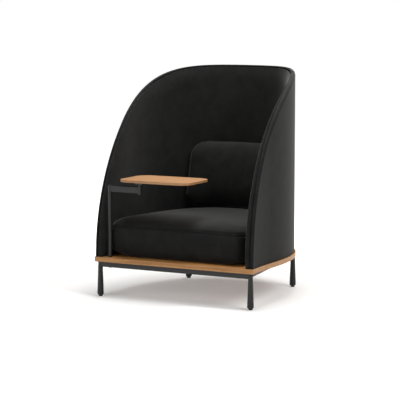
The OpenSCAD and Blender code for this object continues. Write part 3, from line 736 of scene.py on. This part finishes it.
    def rim(self) -> None:
        """The padded rim: a wide roll inside, a groove with a cord, and a narrow rib outside.

        The rib is a dome: half width times cos(a), height times sin(a) to a power. The inner
        roll is an ellipse from the face's last slope over the top into the groove. A cord's
        section is a circle.
        """
        points, across, up = self.rim_frame()
        depth = points[:, 1] + self.platform_d / 2
        shape = self.edge_shape(np.clip(depth, self.rim_front, None))
        shape = {key: value[:, None] for key, value in shape.items()}
        groove, floor, low, turn = (shape[key] for key in ("groove", "floor", "low", "turn"))
        lift = points[:, 2:3] - self.platform_top
        start = shape["start"] - self.swelling(depth[:, None] - self.rim_front, lift)
        same = np.zeros_like(start)

        outer, rib_end = self.wall / 2 - 2 * self.piping - self.gap, groove + self.groove_half
        a = np.linspace(0, np.pi, 15)[None]
        rib = (outer + rib_end) / 2 + (outer - rib_end) / 2 * np.cos(a)
        rib_up = self.gap + self.band * np.sin(a) ** self.rib_power + same
        rib_up[:, -1:] = floor

        inner = groove - self.groove_half
        half = (inner - start) / (1 + np.cos(turn))
        angle = turn + (np.pi - turn) * np.linspace(1, 0, 17)[None]
        roll = start + half * (np.cos(turn) - np.cos(angle))
        roll_up = shape["top"] - self.crown_h * (1 - np.sin(angle))
        roll_up = np.maximum(roll_up, np.minimum(floor, low))
        full = self.foot_share(lift)
        roll = inner + (roll - inner) * (self.foot_slim + (1 - self.foot_slim) * full)
        roll_up = floor + (roll_up - floor) * full

        under = [start + self.under_in, *[same + at for at in self.under_rib]]
        under_up = [low - self.under_drop, floor - self.under_drop, same + self.under_clear]
        section = [np.hstack([rib, roll, *under]), np.hstack([rib_up, roll_up, *under_up])]
        band = swept("rim_padding", points, across, up, np.stack(section, -1))
        dress(band, self.finishes["velour"], ["rim_band"])

        a = np.linspace(0, 2 * np.pi, 12, endpoint=False)[None]
        raised = shape["raised"]
        cords = (
            ("outer", self.wall / 2 - self.welt_in + same, -self.welt_low + same),
            ("inner", groove + self.cord_shift * raised, floor + self.gap + raised),
        )
        for side, at, level in cords:
            rise = level + self.piping * (self.cord_level - np.sin(a))
            ring = np.stack([at + self.piping * np.cos(a), rise], -1)
            cord = swept(f"welt_{side}", points, across, up, ring)
            # The cords take the darker, less shiny copy of the velour: painted shade in the groove.
            dress(cord, self.finishes["cord"], [f"rim_piping_{side}"])

    def build(self) -> None:
        """Make the covers and the rim."""
        outer = ["shell_outer_cover", "shell_wadding"]
        inner = ["shell_inner_cover", "shell_acoustic_pad"]
        self.skin("shell_outside_fabric", Side.OUTER, outer)
        self.skin("shell_inside_fabric", Side.INNER, inner)
        self.rim()


# ---- cushions ----


# The seat cushion from its bottom to its top: shares of the outline, of the side's height, of
# the crown and of the seam's rise.
SEAT_LEVELS = np.array(
    [
        [0.9, 0, 0, 0], [0.928, 0.015, 0, 0], [0.954, 0.06, 0, 0], [0.976, 0.14, 0, 0],
        [0.99, 0.27, 0, 0.1], [0.998, 0.48, 0, 0.4], [1, 0.76, 0, 0.8], [0.997, 0.93, 0, 1],
        [0.985, 1, 0, 1], [0.977, 1, 0.19, 1], [0.957, 1, 0.4, 0.95], [0.924, 1, 0.6, 0.8],
        [0.87, 1, 0.77, 0.6], [0.78, 1, 0.89, 0.4], [0.65, 1, 0.96, 0.2], [0.45, 1, 0.99, 0.1],
        [0.2, 1, 1, 0],
    ]
)
SEAT_SEAM = np.array([[0.986, 1.0, 0, 1.0]])
# The lumbar cushion from its back to its front: shares of the outline and of half the thickness.
LUMBAR_LEVELS = np.array(
    [
        [0.12, -1.0], [0.42, -0.97], [0.72, -0.83], [0.88, -0.62], [0.96, -0.38], [1, 0],
        [0.96, 0.38], [0.88, 0.62], [0.72, 0.83], [0.42, 0.97], [0.12, 1.0],
    ]
)
LUMBAR_SEAM = np.array([[1.0, 0.0]])


def nearest(points: Array, targets: Array) -> tuple[Array, Array]:
    """Find the nearest target of each point, some thousands of points at a time.

    Args:
        points: N by 3 points.
        targets: K by 3 points.

    Returns:
        The target's number and its distance, for each point.
    """
    which = np.empty(len(points), np.int64)
    apart = np.empty(len(points), np.float32)
    for start in range(0, len(points), 4000):
        part = slice(start, start + 4000)
        squared = ((points[part, None] - targets[None].astype(np.float32)) ** 2).sum(-1)
        which[part] = squared.argmin(1)
        apart[part] = np.sqrt(squared.min(1))
    return which, apart


@dataclass(frozen=True)
class Stuffing:
    """How a cushion's cloth is remeshed, blown up and held.

    A point may move by cap, and the cushion keeps a share of the move. The cloth is held near
    the seam and the floor, and the seam pulls it in by a crease.
    """

    voxel: float
    pressure: float = 5.0
    cap: float = 0.022
    frames: int = 20
    share: float = 0.45
    seam_hold: float = 0.009
    floor_hold: float = 0.012
    crease: float = 0.004
    crease_run: float = 0.009

    def inflate(self, piece: Any, seams: Array, rest: Array) -> None:
        """Blow the cushion up with a cloth simulation and keep the result in its mesh.

        A point is held fully within seam_hold of a seam or where it rests on something, and the
        hold fades over twice that distance. Each point's move is cut to the cap.

        Args:
            piece: a closed mesh object at the origin.
            seams: K by 3 points along the seams.
            rest: a plane that the cushion rests on, as four numbers (normal and offset).
        """
        set_up(piece.modifiers.new("cells", "REMESH"), mode="VOXEL", voxel_size=self.voxel)
        depsgraph = bpy.context.evaluated_depsgraph_get()
        mesh = bpy.data.meshes.new_from_object(piece.evaluated_get(depsgraph))
        piece.modifiers.clear()
        piece.data = mesh
        before = coordinates(mesh)
        hold = np.clip(1.5 - nearest(before, seams)[1] / (2 * self.seam_hold), 0, 1)
        lowest = before @ rest[:3].astype(np.float32) - rest[3]
        hold = np.round(np.maximum(hold, np.clip(1.5 - lowest / self.floor_hold, 0, 1)), 1)
        group = piece.vertex_groups.new(name="held")
        for level in np.unique(hold[hold > 0]):
            group.add(np.nonzero(hold == level)[0].tolist(), float(level), "REPLACE")
        cloth = piece.modifiers.new("cloth", "CLOTH")
        set_up(
            cloth.settings, quality=5, mass=0.3, use_pressure=True,
            uniform_pressure_force=self.pressure, vertex_group_mass="held", bending_stiffness=2.0,
        )
        cloth.settings.effector_weights.gravity = 0.0
        set_up(cloth.point_cache, frame_start=1, frame_end=self.frames)
        for number in range(1, self.frames + 1):
            bpy.context.scene.frame_set(number)
        blown = piece.evaluated_get(bpy.context.evaluated_depsgraph_get())
        move = coordinates(blown.data) - before
        length = np.maximum(np.linalg.norm(move, axis=1, keepdims=True), 1e-9)
        log.info("%s moved %.1f mm at most", piece.name, 1000 * float(length.max()))
        settled = before + move * (self.share * np.minimum(1, self.cap / length))
        piece.modifiers.clear()
        which, apart = nearest(settled, seams)
        inward = unit(seams.mean(0) - seams)[which]
        crease = self.crease * np.exp(-((apart / self.crease_run) ** 2))
        mesh.vertices.foreach_set("co", (settled + inward * crease[:, None]).ravel())
        mesh.update()
        bpy.context.scene.frame_set(1)


def smooth_levels(shares: Array, count: int) -> Array:
    """Finer levels through a table of level shares.

    Between two rows the values follow a Catmull-Rom curve: half of (2 p1 + (p2 - p0) t +
    (2 p0 - 5 p1 + 4 p2 - p3) t squared + (3 p1 - p0 - 3 p2 + p3) t cubed).

    Args:
        shares: L by M table.
        count: how many levels come out.

    Returns:
        count by M levels.
    """
    padded = np.vstack([2 * shares[0] - shares[1], shares, 2 * shares[-1] - shares[-2]])
    at = np.linspace(0, len(shares) - 1 - 1e-9, count)
    k = at.astype(int)
    t = (at - k)[:, None]
    p0, p1, p2, p3 = (padded[k + i] for i in range(4))
    return 0.5 * (
        2 * p1 + (p2 - p0) * t + (2 * p0 - 5 * p1 + 4 * p2 - p3) * t**2
        + (3 * p1 - p0 - 3 * p2 + p3) * t**3
    )


def pillow_object(name: str, rings: Array) -> Any:
    """A closed form through rings, with a point at each end.

    Args:
        name: the piece's name.
        rings: L by N by 3 points.

    Returns:
        The object.
    """
    count, sides = rings.shape[:2]
    points = np.vstack([rings.reshape(-1, 3), rings[0].mean(0), rings[-1].mean(0)])
    tip, last = np.full(sides, count * sides), (count - 1) * sides
    j = np.arange(sides)
    k = (j + 1) % sides
    fans = np.stack([tip, j, k, tip + 1, last + k, last + j], 1).reshape(-1, 3)
    faces = tube_faces(count, sides, False)[:-2] + fans.tolist()
    return mesh_object(name, points, faces, 70)


@dataclass
class Cushion:
    """What the loose cushions share: a body that is blown up, and a cord along its seam.

    The cloth starts inside the finished form by shrink. The seam's loop lies facing one way,
    and its cord lies sunk by a share of the seam's crease.
    """

    finishes: dict[str, Any]
    shell: Shell
    stuffing: Stuffing
    shrink: float = 0.002
    facing: tuple[float, float, float] = (0.0, 0.0, 1.0)
    spin: int = 1
    cord_r: float = 2.0 * MM
    cord_sink: float = 0.0

    def point_rings(self, levels: Array) -> Array:
        """Rings of the cushion at some levels, as L by N by 3 points."""
        raise NotImplementedError

    @property
    def drawn_in(self) -> float:
        return self.shrink

    def body(self, name: str, levels: Array, seam: Array, floor: float) -> Any:
        """Make the cushion's body.

        Args:
            name: the piece's name.
            levels: its levels from end to end.
            seam: N by 3 points of the seam.
            floor: height of the plane it rests on.

        Returns:
            The piece, not yet dressed.
        """
        piece = pillow_object(name, self.point_rings(levels))
        self.stuffing.inflate(piece, seam, np.array([0, 0, 1, floor]))
        set_up(piece.modifiers.new("finer", "SUBSURF"), levels=1, render_levels=1)
        return piece

    def cord(self, name: str, seam: Array, finish: Any) -> None:
        """Make the seam's cord.

        Args:
            name: the piece's name.
            seam: N by 3 points of the seam.
            finish: the cord's material.
        """
        tangent = along(seam, closed=True)
        out = unit(np.cross(tangent, self.facing))
        turn = np.linspace(0, 2 * np.pi, 10, endpoint=False)
        circle = self.cord_r * np.stack([np.cos(turn), self.spin * np.sin(turn)], 1)
        sink = self.cord_sink * self.stuffing.crease
        path = seam + unit(seam.mean(0) - seam) * sink
        cord = swept(name, path, out, unit(np.cross(out, tangent)), circle, True)
        dress(cord, finish)


@dataclass
class SeatCushion(Cushion):
    """The loose box cushion: crowned top, full front and a seam round the top edge.

    Towards the front it draws in and shifts to the left, and its lower edge lifts at the two
    front corners, most at the left one.
    """

    stuffing: Stuffing = Stuffing(0.0095, share=0.2, crease=0.006)
    spin: int = -1
    cord_r: float = 2.8 * MM
    cord_sink: float = 0.3
    setback: float = 0.051
    clear: float = 0.008
    side_h: float = 0.174
    crown: float = 0.058
    fall: float = 0.015
    corner_r: float = 0.042
    grip: float = 0.002
    seam_rise: float = 0.002
    front_draw: float = 0.014
    front_run: float = 0.11
    to_left: float = 0.018
    to_left_run: float = 0.25
    corner_lift: float = 0.15
    corner_run: float = 0.055
    right_share: float = 0.4
    lift_power: int = 5

    def outline(self) -> Array:
        """Plan of the cushion, counter-clockwise from the middle of the front.

        The front is straight, the two front corners are arcs, and the rest keeps a set
        distance inside the shell.

        Returns:
            N by 2 points in the model's frame.
        """
        shell, r = self.shell, self.corner_r
        half = shell.platform_w / 2 - shell.side_draw - shell.inset - shell.wall - self.clear
        front = self.setback - shell.platform_d / 2
        straight = np.stack(
            [np.linspace(0, half - r, 24, endpoint=False), np.full(24, front)], 1
        )
        a = np.linspace(-np.pi / 2, 0, 12)
        arc = np.stack([half - r + r * np.cos(a), front + r + r * np.sin(a)], 1)
        plan, _ = shell.face(shell.wall + self.clear)
        bend = plan[shell.side_steps : shell.side_steps + shell.bend_steps + 1 : 2]
        right = np.vstack([straight, arc, bend])
        return np.vstack([right, (right * [-1, 1])[-2:0:-1]])

    def point_rings(self, levels: Array) -> Array:
        """Rings of the cushion at some levels.

        Args:
            levels: L by 4 shares of outline, side height, crown and seam rise.

        Returns:
            L by N by 3 points.
        """
        plan = self.outline()
        half = np.abs(plan[:, 0]).max()
        low, high = plan[:, 1].min(), plan[:, 1].max()
        middle = (low + high) / 2
        share = levels[:, 0:1] * (1 - self.drawn_in / half)
        front = plan[:, 1] - low
        narrow = self.front_draw * np.exp(-((front / self.front_run) ** 2))
        x = plan[None, :, 0] * share * (1 - narrow)
        y = middle + (plan[None, :, 1] - middle) * share
        depth = (y - low) / (high - low)
        from_corner = np.hypot(half - np.abs(plan[:, 0]), front)
        lift = self.corner_lift * np.exp(-((from_corner / self.corner_run) ** 2))[None]
        lift = lift * np.where(plan[None, :, 0] > 0, self.right_share, 1.0)
        rise = self.seam_rise * (1 - (plan[:, 0] / half) ** 2)
        z = (
            self.shell.platform_top + self.grip + (self.side_h - self.drawn_in)
            * (levels[:, 1:2] + lift * (1 - levels[:, 1:2]) ** self.lift_power)
            + (self.crown - self.fall * depth) * levels[:, 2:3]
            + rise[None] * levels[:, 3:4]
        )
        shift = self.to_left * np.exp(-((front / self.to_left_run) ** 2))
        return np.stack([x - shift, y, z], -1)

    def build(self) -> None:
        """Make the cushion and its seam cord."""
        seam = self.point_rings(SEAT_SEAM)[0]
        floor = self.shell.platform_top + self.grip
        piece = self.body("seat_cushion", smooth_levels(SEAT_LEVELS, 64), seam, floor)
        dress(piece, self.finishes["velour"], ["seat_cover", "seat_foam", "seat_zip"])
        piece.data.shade_smooth()
        # The seam cord takes the darker copy of the velour: painted shade along the seam.
        self.cord("seat_seam_cord", seam, self.finishes["cord"])


@dataclass
class LumbarCushion(Cushion):
    """The loose back cushion: two panels joined by a seam round the edge, bent to the shell."""

    stuffing: Stuffing = Stuffing(0.007)
    facing: tuple[float, float, float] = (0.0, -1.0, 0.0)
    width: float = 0.630
    height: float = 0.394
    thick: float = 0.138
    corner_r: float = 0.084
    back_clear: float = 0.022
    end_clear: float = 0.033
    lean: float = 7.5
    pull: float = 0.006
    taper: float = 0.027

    def inner_depth(self, x: float) -> float:
        """Depth of the shell's inner face at a distance from the centre line."""
        shell = self.shell
        half = shell.platform_w / 2 - shell.side_draw - shell.inset - shell.wall
        run = shell.platform_d - shell.side_run - shell.inset - shell.wall
        share = (1 - (abs(x) / half) ** shell.bend_power) ** (1 / shell.bend_power)
        return shell.side_run + run * share - shell.platform_d / 2

    def point_rings(self, levels: Array) -> Array:
        """Rings of the cushion: an upright rounded outline shrinking towards front and back.

        The middle surface leans back by tan(lean) times height, and bows forward by the square
        of the distance from the centre line. The outline narrows upwards by the taper, and its
        sides are pulled in by the square of a cosine.

        Args:
            levels: L by 2 shares of outline and of half the thickness towards the front.

        Returns:
            L by N by 3 points.
        """
        w, h, r, shrink = self.width, self.height, self.corner_r, self.drawn_in
        side = np.stack([np.full(8, w / 2), np.linspace(0, h / 2 - r, 8, endpoint=False)], 1)
        a = np.linspace(0, np.pi / 2, 14)
        arc = np.stack([w / 2 - r + r * np.cos(a), h / 2 - r + r * np.sin(a)], 1)
        top = np.stack([np.linspace(w / 2 - r, 0, 14)[1:], np.full(13, h / 2)], 1)
        quarter = np.vstack([side, arc, top])
        half = np.vstack([quarter, (quarter * [-1, 1])[-2::-1]])
        plan = np.vstack([half, (half * [1, -1])[-2:0:-1]])
        pull_x = 1 - self.pull * np.cos(np.pi * plan[:, 1] / h) ** 2
        pull_z = 1 - self.pull * np.cos(np.pi * plan[:, 0] / w) ** 2
        taper = 1 - self.taper * 2 * plan[:, 1] / h
        x = plan[None, :, 0] * levels[:, 0:1] * (1 - 2 * shrink / w) * (pull_x * taper)[None]
        z = plan[None, :, 1] * levels[:, 0:1] * (1 - 2 * shrink / h) * pull_z[None]
        middle = self.inner_depth(0) - self.back_clear - self.thick / 2
        bow = middle - self.inner_depth(w / 2) + self.end_clear
        surface = middle + z * math.tan(math.radians(self.lean)) - bow * (2 * x / w) ** 2
        y = surface - (self.thick / 2 - shrink) * levels[:, 1:2]
        low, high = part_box("lumbar_cover")
        return np.stack([x, y, z + (low.z + high.z) / 2], -1)

    def build(self) -> None:
        """Make the cushion and its seam cord. It rests on nothing that would flatten it."""
        seam = self.point_rings(LUMBAR_SEAM)[0]
        piece = self.body("lumbar_cushion", smooth_levels(LUMBAR_LEVELS, 52), seam, -1.0)
        dress(piece, self.finishes["velour"], ["lumbar_cover", "lumbar_foam", "lumbar_zip"])
        piece.data.shade_smooth()
        self.cord("lumbar_seam_cord", seam, self.finishes["velour"])


# ---- carried-over nodes, room and camera ----


@dataclass
class HardParts:
    """The CAD nodes that keep their own shape and get their finish here."""

    finishes: dict[str, Any]

    def round_edge(self, name: str, radius: float, slack: float) -> None:
        """Round the long edges of a board, without touching the holes in it.

        A corner is on the board's outline where, in some direction, it reaches to within slack
        of the farthest corner. The middle of an edge has to do so too, because a straight side
        is one long edge, and a diagonal across a face joins two far sides.

        Args:
            name: the CAD node.
            radius: the rounding's radius.
            slack: how far the outline may fall inside its convex hull.
        """
        node = frame["nodes"][name]
        points = coordinates(node.data)
        plan, height = points[:, :2], points[:, 2]
        ends = np.empty(len(node.data.edges) * 2, np.int32)
        node.data.edges.foreach_get("vertices", ends)
        first, second = ends.reshape(-1, 2).T
        turn = np.linspace(0, 2 * np.pi, 720, endpoint=False)
        fan = np.stack([np.cos(turn), np.sin(turn)])
        far = (plan @ fan).max(0) - slack
        corner = (plan @ fan > far).any(1)
        middle = ((plan[first] + plan[second]) / 2 @ fan > far).any(1)
        level = np.abs(height[first] - height[second]) < 0.1 * MM
        long = np.linalg.norm(plan[first] - plan[second], axis=1) > 0
        weight = (corner[first] & corner[second] & middle & level & long).astype(np.float32)
        mark = node.data.attributes.new("bevel_weight_edge", "FLOAT", "EDGE")
        mark.data.foreach_set("value", weight)
        set_up(
            node.modifiers.new("joined_faces", "DECIMATE"), decimate_type="DISSOLVE",
            angle_limit=math.radians(1),
        )
        set_up(
            node.modifiers.new("rounded_edge", "BEVEL"), limit_method="WEIGHT", width=radius,
            segments=4, use_clamp_overlap=False,
        )

    def dress(self) -> None:
        """Give every CAD node its own finish, or else that of its material slot."""
        self.round_edge("tablet_top", 5 * MM, 0.2 * MM)
        self.round_edge("platform_board", 1.8 * MM, 4 * MM)
        slots = {s["node"]: s["material_slot"] for s in frame["record"]["subparts"]}
        for name, node in frame["nodes"].items():
            finish = self.finishes[name if name in self.finishes else slots[name]]
            for place in node.material_slots:
                place.material = finish
        log.info("dressed %d nodes", len(frame["nodes"]))


# Name, place, side and power in watts of each softbox.
SOFTBOXES = (
    ("overhead_softbox", (0.0, 0.0, 4.6), 1.2, 135),
    ("rear_softbox", (0.0, 1.8, 4.0), 2.4, 95),
    ("key_softbox", (3.6, -1.0, 3.6), 2.4, 122),
    ("left_softbox", (-2.6, -4.6, 2.4), 2.4, 50),
    ("front_softbox", (0.4, -5.4, 2.0), 2.4, 33),
)


def seen_by(tree: Any, other: str) -> Any:
    """A socket that is 1 for camera rays and for rays of one other kind, and else 0."""
    path = add_node(tree, "LightPath")
    rays = {0: path["Is Camera Ray"], 1: path[f"Is {other} Ray"]}
    return add_node(tree, "Math", {"operation": "MAXIMUM", **rays})[0]


@dataclass
class Studio:
    """Floor, lamps, world and camera.

    The lamps face the target. The floor's own glow grows from glow_near to 1 between two
    distances from the middle. The camera's lens is in millimetres, and its angles in degrees.
    """

    target: tuple[float, float, float] = (0.0, 0.0, 0.62)
    floor_half: float = 400.0
    glow_near: float = 0.27
    glow_from: float = 0.9
    glow_to: float = 2.6
    eye: tuple[float, float, float] = (5.0858, -9.5916, 1.8374)
    lens: float = 169.849
    dip: float = 6.8672
    heading: float = 28.3584

    def floor(self) -> None:
        """A wide pale floor that shows white to the camera and keeps the shadow."""
        mesh = bpy.data.meshes.new("studio_floor")
        half = self.floor_half
        corners = [[-half, -half, 0], [half, -half, 0], [half, half, 0], [-half, half, 0]]
        mesh.from_pydata(corners, [], [[0, 1, 2, 3]])
        made = placed("studio_floor", mesh)
        mat, tree, shader, place = begun("painted_studio_floor")
        tree.nodes.remove(shader)
        paint = add_node(tree, "BsdfDiffuse", {"Color": linear("e6e5e3"), "Roughness": 0.5})[0]
        shine = add_node(tree, "BsdfGlossy", {"Color": linear("ffffff"), "Roughness": 0.16})[0]
        mixed = add_node(tree, "MixShader", {"Fac": 0.035, 1: paint, 2: shine})[0]
        glowing = {
            "interpolation_type": "SMOOTHSTEP", "From Min": self.glow_from,
            "From Max": self.glow_to, "To Min": self.glow_near, "To Max": 1.0,
            "Value": add_node(tree, "VectorMath", {"operation": "LENGTH", 0: place})["Value"],
        }
        level = add_node(tree, "MapRange", glowing)["Result"]
        shown = {"operation": "MULTIPLY", 0: level, 1: seen_by(tree, "Glossy")}
        strength = add_node(tree, "Math", shown)[0]
        glow = add_node(tree, "Emission", {"Color": (1, 1, 1, 1), "Strength": strength})[0]
        total = add_node(tree, "AddShader", {0: mixed, 1: glow})[0]
        feed(tree, tree.nodes["Material Output"], {"Surface": total})
        made.data.materials.append(mat)

    def world(self) -> None:
        """A sky that gives no light, and shows white to the camera and through glass."""
        sky = bpy.data.worlds.new("studio_sky")
        bpy.context.scene.world = sky
        sky.use_nodes = True
        tree = sky.node_tree
        tree.nodes.clear()
        white = {"Color": (1, 1, 1, 1), "Strength": seen_by(tree, "Transmission")}
        add_node(tree, "OutputWorld", {"Surface": add_node(tree, "Background", white)[0]})

    def lamp(self, name: str, place: tuple[float, float, float], size: float, power: float) -> None:
        """A square softbox that faces the chair.

        Args:
            name: the lamp's name.
            place: where it hangs.
            size: its side.
            power: its power in watts.
        """
        light = bpy.data.lights.new(name, "AREA")
        made = placed(name, set_up(light, shape="SQUARE", size=size, energy=power))
        aim = Vector(self.target) - Vector(place)
        set_up(made, location=place, rotation_euler=aim.to_track_quat("-Z", "Y").to_euler())

    def camera(self) -> None:
        """The photograph's long lens, a little above the chair and off to its right."""
        data = bpy.data.cameras.new("camera")
        set_up(data, sensor_width=36.0, lens=self.lens, clip_start=0.1, clip_end=200.0)
        turned = (math.radians(90 - self.dip), 0.0, math.radians(self.heading))
        made = set_up(placed("camera", data), location=self.eye, rotation_euler=turned)
        bpy.context.scene.camera = made

    def build(self) -> None:
        """Set up the room."""
        bpy.context.scene.view_settings.view_transform = "Standard"
        self.floor()
        self.world()
        for softbox in SOFTBOXES:
            self.lamp(*softbox)
        self.camera()


def main() -> None:
    """Build the chair's pieces and the room in order."""
    logging.basicConfig(level=logging.INFO, format="%(name)s: %(message)s")
    finishes = build_finishes()
    HardParts(finishes).dress()
    shell = Shell(finishes)
    shell.build()
    SeatCushion(finishes, shell).build()
    LumbarCushion(finishes, shell).build()
    Studio().build()


if __name__ == "__main__":
    main()
